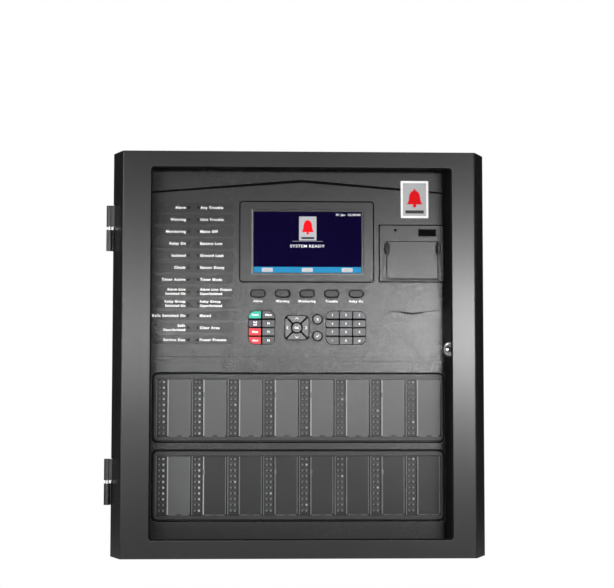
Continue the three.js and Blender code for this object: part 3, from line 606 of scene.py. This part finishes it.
# a thin black sheet behind the keys: painted shade in the gaps between them
se.box(-80.0, 104.0, -81.62, -81.53, 8.0, 97.0)
se.done()

# foam strip on the front flange of the back box, which the outer door closes on
ds = Batch("door_seal", "cabinet", "rubber", ["matt"])
ds.ring(rr(-264.2, 266.0, -287.6, 285.7, 0.6, 1), rr(-262.4, 262.4, -280.0, 280.0, 0.6, 1), -129.8, -128.55)
ds.done()

# light lines along the left and bottom inside the display opening: painted highlight on the bezel's inner edges
df = Batch("display_painted_highlight_line", "panel", "bezel_plastic", ["clip", "matt", "card"])
df.box(-68.3, -66.6, -100.3, -99.65, 115.4, 211.0, 0)
df.box(-66.6, 95.8, -100.1, -99.65, 115.2, 116.4, 2)
df.done()

# ------------------------------------------------------------------ zone indicator strips under their covers
PITCH = 51.8
for nm, z0, z1 in (("upper", -127.4, -29.2), ("lower", -240.7, -140.4)):
    top, bot = z1 - 8.2, z0 + 7.6
    bed = Batch("zone_bed_" + nm, "panel", "fascia_plastic", ["lampbed", "column", "clip", "rim"], bevel=0.25)
    card = Batch("zone_cards_" + nm, "panel", "fascia_plastic", ["card", "clip", "edge", "card_b", "card_shaded", "rim"])
    lens = Batch("zone_lamps_" + nm, "panel", "fascia_plastic", ["lamp", "lamp_glint"], smooth=True)
    bed.ring(rr(-208.2, 210.6, z0 + 1.8, z1 - 1.8, 5.2), rr(-205.4, 208.2, z0 + 6.6, z1 - 7.2, 1.0), -98.8, -94.8, 3)
    for i in range(8):
        x = -204.0 + PITCH * i
        bed.box(x, x + 13.4, -97.0, -94.4, bot, top, 1)
        # a light strip at the left of each lamp column: painted highlight on its edge
        bed.box(x - 1.6, x - 0.3, -98.4, -94.4, bot, top, 2)
        rows = [top - 4.0 - 8.25 * k for k in range(10)]
        for k in range(10):
            zc = rows[k] - 4.12
            if k < 9:
                bed.prism(rr(x + 0.8, x + 12.6, zc - 1.7, zc + 1.7, 1.65), -98.6, -96.9, 0)
                # a light strip under each lamp pocket: painted highlight on the ridge
                bed.prism(rr(x + 1.6, x + 11.8, zc - 2.1, zc - 1.75, 0.1, 1), -98.2, -96.9, 2)
            lens.dome(x + 3.4, rows[k], 1.5, -97.0, 1.3, 0, 10, 3)
            # chosen lamps get the glowing facet: a painted highlight on the lens
            lens.dome(x + 9.4, rows[k], 1.75, -97.0, 1.4, 1 if (i < 2 and 1 <= k <= 7) or (i + 3 * k) % 7 == 0 else 0, 10, 3)
        c0, c1 = x + 16.4, x + 16.4 + 30.8
        # the lower strip's cards after the first take the darker copy: painted shade
        kind = 0 if nm == "upper" else (3 if i == 0 else 4)
        card.prism(rr(c0, c1, bot + 0.4, top - 0.4, 0.8, 2), -97.4, -96.2, kind)
        # the strips along the left and right edges of each card are painted highlights, the left one glowing
        card.box(c0 - 1.7, c0 + 0.1, -98.5, -95.0, bot + 0.6, top - 0.6, 2 if nm == "upper" or i < 2 else 1)
        card.box(c1 - 0.2, c1 + 0.9, -98.3, -95.0, bot + 1.8, top - 0.6, 1)
        card.box(c0 + 1.0, c1 - 1.0, -98.0, -96.0, bot - 0.5, bot + 0.6, 1)
        card.prism(rr(c0 + 12.0, c0 + 19.5, bot - 0.6, bot + 2.0, 0.9, 3), -98.7, -96.0, 5)
        if i in (1, 3, 4, 6):
            card.prism(rr(c0 - 2.0, c0 + 1.4, top - 26, top - 19, 1.2, 3), -98.6, -95.4, 1)
    bed.done()
    card.done()
    lens.done()

# ------------------------------------------------------------------ lock face
lk = Batch("lock_face", "lock", "chrome", ["chrome", "dark"], smooth=True)
lk.lathe_y(222.1, 6.8, [(0.0, -92.55), (5.4, -92.5), (5.9, -92.2), (5.9, -91.9), (0.0, -91.9)], seg=24, mat=0)
lk.box(222.1 - 0.7, 222.1 + 0.7, -92.62, -92.5, 6.8 - 3.6, 6.8 + 3.6, 1)
lk.done()

# ------------------------------------------------------------------ fittings inside the box
tb = Batch("terminal_fittings", "cabinet", "circuit_board", ["terminal", "steel", "matt", "dark", "alu"], bevel=0.2)
for i in range(7):
    x0 = -190.0 + 40.5 * i
    tb.box(x0 + 0.4, x0 + 34.6, -26.5, -26.05, 246.4, 258.6, 0)
    for j in range(6):
        xs = x0 + 3.6 + 5.55 * j
        tb.lathe_y(xs, 254.8, [(0.0, -27.0), (1.7, -27.0), (2.0, -26.8), (2.0, -26.5), (0.0, -26.5)], seg=12, mat=1)
        tb.box(xs - 0.3, xs + 0.3, -27.08, -26.98, 253.2, 256.4, 2)
        tb.box(xs - 1.8, xs + 1.8, -26.62, -26.5, 247.4, 251.2, 2)
for x, z, w, h in ((-120.0, 205.0, 26.0, 12.0), (-60.0, 196.0, 15.0, 15.0), (0.0, 214.0, 34.0, 10.0), (52.0, 188.0, 12.0, 22.0), (-160.0, 214.0, 14.0, 9.0)):
    tb.box(x - w / 2, x + w / 2, -17.2, -14.05, z - h / 2, z + h / 2, 3)
for x, z in ((-30.0, 168.0), (-14.0, 168.0), (74.0, 214.0), (74.0, 200.0)):
    tb.lathe_y(x, z, [(0.0, -27.0), (4.0, -27.0), (4.6, -26.4), (4.6, -14.05), (0.0, -14.05)], seg=18, mat=3)
    tb.lathe_y(x, z, [(0.0, -27.1), (3.4, -27.1), (3.4, -27.0), (0.0, -27.0)], seg=18, mat=4)
tb.done()

bt = Batch("battery_trim", "cabinet", "battery_case", ["battery", "tilegrey", "red", "matt"], bevel=0.3)
for x in (-79.5, 79.5):
    bt.box(x - 74.0, x + 74.0, -69.1, -68.55, -205.0, -203.6, 3)
    bt.prism(rr(x - 48.0, x + 48.0, -262.0, -218.0, 2.0), -68.95, -68.55, 1)
    bt.box(x - 40.0, x + 40.0, -69.05, -68.95, -238.0, -234.0, 3)
    bt.prism(circle(x - 59.0, -212.0, 4.0, 18), -69.0, -68.55, 2)
    bt.prism(circle(x + 59.0, -212.0, 4.0, 18), -69.0, -68.55, 3)
bt.done()

ps = Batch("supply_fittings", "cabinet", "aluminium", ["terminal", "steel", "matt"], bevel=0.2)
ps.box(-212.0, -92.0, -50.6, -50.05, -41.0, -31.0, 0)
for j in range(9):
    xs = -205.0 + 13.2 * j
    ps.lathe_y(xs, -36.0, [(0.0, -51.4), (2.2, -51.4), (2.6, -51.1), (2.6, -50.6), (0.0, -50.6)], seg=12, mat=1)
    ps.box(xs - 0.35, xs + 0.35, -51.5, -51.38, -38.0, -34.0, 2)
for x, z in ((-214.0, 48.0), (-70.0, 48.0), (-70.0, -20.0)):
    ps.lathe_y(x, z, [(0.0, -43.6), (2.0, -43.6), (3.0, -43.0), (3.2, -42.05), (0.0, -42.05)], seg=14, mat=1)
ps.done()

# clips and screws that hold the pane inside the door
pc = Batch("pane_clips", "door", "steel", ["steel", "matt"], bevel=0.15)
for x, z, wide in [(x, z, True) for x in (-150.0, 0.0, 150.0) for z in (-271.5, 272.6)] + [(x, z, False) for x in (-219.5, 226.0) for z in (-130.0, 0.0, 130.0)]:
    a, b = (9.0, 4.4) if wide else (4.4, 9.0)
    pc.prism(rr(x - a, x + a, z - b, z + b, 1.2), -156.2, -155.2, 0)
    pc.lathe_y(x, z, [(0.0, -155.2), (2.4, -155.2), (2.2, -154.3), (1.2, -153.9), (0.0, -153.9)], seg=14, mat=0)
    pc.box(x - 1.7, x + 1.7, -153.92, -153.82, z - 0.3, z + 0.3, 1)
pc.done()

# parts on the back of the panel board, seen when the panel stands open
mb = Batch("panel_board_parts", "panel", "circuit_board", ["dark", "steel", "tilegrey", "alu"], bevel=0.2)
for x, z, w, h, m_ in ((-140.0, 120.0, 18.0, 30.0, 0), (-110.0, 180.0, 24.0, 12.0, 0), (-60.0, 60.0, 40.0, 10.0, 2), (-20.0, 110.0, 20.0, 20.0, 0),
                       (80.0, 180.0, 14.0, 40.0, 2), (70.0, 80.0, 24.0, 12.0, 0), (-150.0, 84.0, 10.0, 18.0, 3), (10.0, 200.0, 26.0, 9.0, 2)):
    mb.box(x - w / 2, x + w / 2, -79.85, -76.4, z - h / 2, z + h / 2, m_)
for x in (-164.0, 96.0):
    for z in (2.0, 110.0, 220.0):
        mb.prism(circle(x, z, 3.2, 12), -79.85, -78.4, 1)
mb.done()

# ------------------------------------------------------------------ floor and light
def light(name, loc, target, size, size_y, power, color=(1, 1, 1)):
    d = bpy.data.lights.new(name, "AREA")
    d.shape = "RECTANGLE"
    d.size, d.size_y = size, size_y
    d.energy = power
    d.color = color
    o = bpy.data.objects.new(name, d)
    bpy.context.scene.collection.objects.link(o)
    o.location = loc
    o.rotation_mode = "QUATERNION"
    o.rotation_quaternion = (Vector(target) - Vector(loc)).to_track_quat("-Z", "Y")
    return o


light("key_strip", (0.2, -2.6, 0.124), (0.0, -0.16, 0.03), 3.2, 0.10, 30.0)
light("right_strip", (0.66, -2.6, 0.124), (0.2, -0.16, 0.03), 0.50, 0.14, 12.0)
light("left_tall", (-1.1, -2.5, 0.12), (-0.2, -0.16, 0.0), 0.8, 0.8, 9.6)
light("fill_top", (-0.5, -1.5, 2.3), (0.0, -0.16, 0.0), 1.6, 0.8, 60.0)
light("fill_left", (-2.3, -1.3, 0.5), (0.0, -0.16, 0.0), 0.8, 1.4, 20.0)
light("left_side", (-3.0, -0.9, 0.4), (0.0, -0.1, 0.0), 1.4, 1.6, 5.0)
light("right_side", (3.0, -0.9, 0.4), (0.0, -0.1, 0.0), 1.4, 1.6, 5.0)
light("back_soft", (0.2, 2.4, 1.6), (0.0, 0.0, 0.0), 2.4, 1.6, 45.0)
light("top_soft", (0.0, 0.3, 2.4), (0.0, 0.0, 0.0), 2.0, 1.2, 18.0)

world = bpy.data.worlds.new("studio")
bpy.context.scene.world = world
world.use_nodes = True
nt = world.node_tree
nt.nodes.clear()
wo = nt.nodes.new("ShaderNodeOutputWorld")
mixs = nt.nodes.new("ShaderNodeMixShader")
lp = nt.nodes.new("ShaderNodeLightPath")
amb = nt.nodes.new("ShaderNodeBackground")
white = nt.nodes.new("ShaderNodeBackground")
amb.inputs[0].default_value = (1, 1, 1, 1)
amb.inputs[1].default_value = 0.02
white.inputs[0].default_value = (1, 1, 1, 1)
white.inputs[1].default_value = 1.0
nt.links.new(lp.outputs["Is Camera Ray"], mixs.inputs[0])
nt.links.new(amb.outputs[0], mixs.inputs[1])
nt.links.new(white.outputs[0], mixs.inputs[2])
nt.links.new(mixs.outputs[0], wo.inputs[0])

bpy.context.scene.view_settings.view_transform = "Standard"

g = Graph("pale_floor")
g.link(g.mix(g.rng(g.noise(3.0), 0, 1), (0.80, 0.80, 0.80), (0.86, 0.86, 0.86)), g.bsdf.inputs["Base Color"])
g.bsdf.inputs["Roughness"].default_value = 0.7
g.bsdf.inputs["Emission Color"].default_value = (0.9, 0.9, 0.9, 1.0)
g.bsdf.inputs["Emission Strength"].default_value = 0.35
fm = bpy.data.meshes.new("floor")
fm.from_pydata([(-5, -5, -1.0), (5, -5, -1.0), (5, 4, -1.0), (-5, 4, -1.0)], [], [[0, 1, 2, 3]])
fm.materials.append(g.mat)
fl = bpy.data.objects.new("floor", fm)
bpy.context.scene.collection.objects.link(fl)
